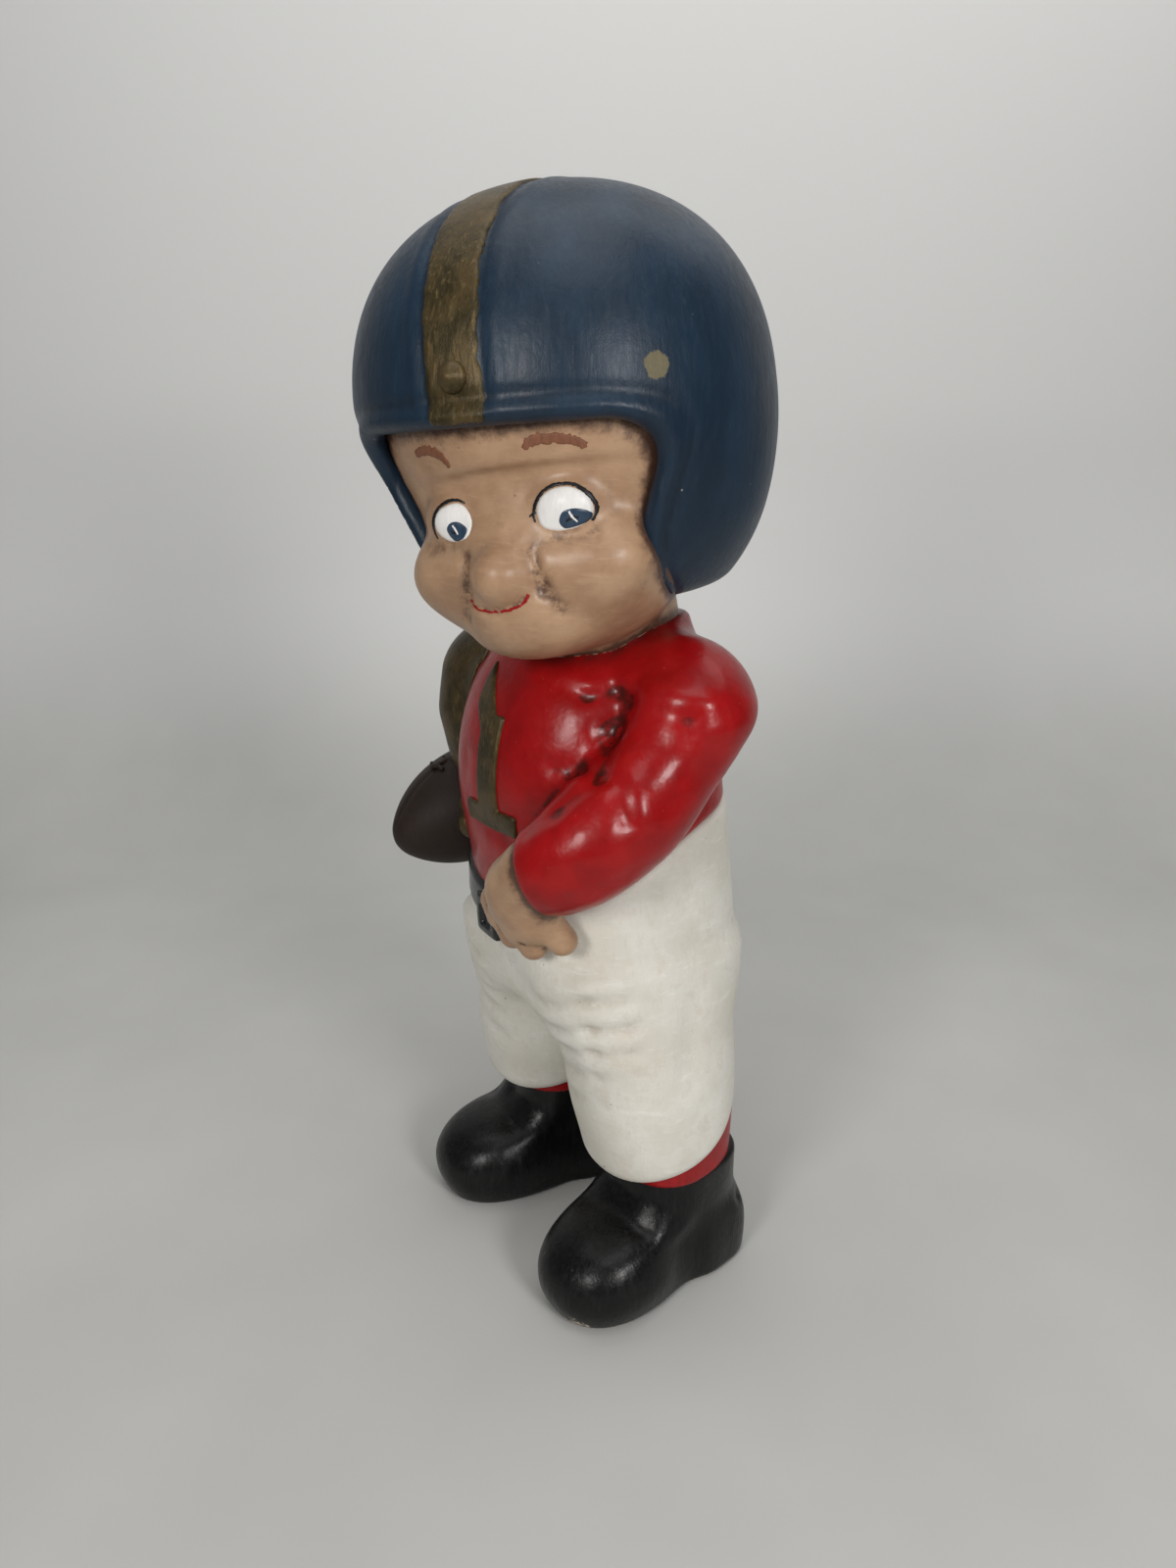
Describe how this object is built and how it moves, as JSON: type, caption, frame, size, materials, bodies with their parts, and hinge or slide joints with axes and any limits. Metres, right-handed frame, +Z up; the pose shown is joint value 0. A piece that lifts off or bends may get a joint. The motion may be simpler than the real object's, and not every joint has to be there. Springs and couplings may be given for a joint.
{
  "type": "ceramic figure of a boy football player",
  "caption": "Hollow slip-cast ceramic figure of a toddler in an old-style football uniform, standing on its two shoes with a ball under one arm.",
  "frame": {"origin": "middle of the footprint of the whole figure, on the ground the shoes stand on", "axes": "+Z up, the figure faces -Y, its left hand is towards +X"},
  "size_m": [0.1592, 0.1285, 0.3546],
  "materials": {
    "helmet_paint": "satin hand-brushed blue over smooth bisque",
    "gold_paint": "satin metallic antique gold, brushed",
    "skin_paint": "satin flesh tone with dark antiquing in the creases",
    "jersey_paint": "glossy red",
    "trouser_paint": "matt off-white with brush marks",
    "sock_paint": "satin red",
    "shoe_paint": "semi-gloss black",
    "belt_paint": "semi-gloss black",
    "ball_paint": "matt dark brown"
  },
  "bodies": {
    "root": {"helmet_shell": "helmet_paint", "helmet_stripe": "gold_paint", "helmet_stud": "gold_paint", "helmet_rim": "helmet_paint", "head_shell": "skin_paint", "torso_shell": "jersey_paint", "jersey_numeral": "gold_paint", "left_sleeve": "jersey_paint", "right_sleeve": "jersey_paint", "sleeve_stripe": "gold_paint", "left_hand": "skin_paint", "right_hand": "skin_paint", "football": "ball_paint", "belt": "belt_paint", "pants_seat": "trouser_paint", "left_pant_leg": "trouser_paint", "right_pant_leg": "trouser_paint", "left_sock": "sock_paint", "right_sock": "sock_paint", "left_shoe": "shoe_paint", "right_shoe": "shoe_paint"}
  },
  "joints": []
}
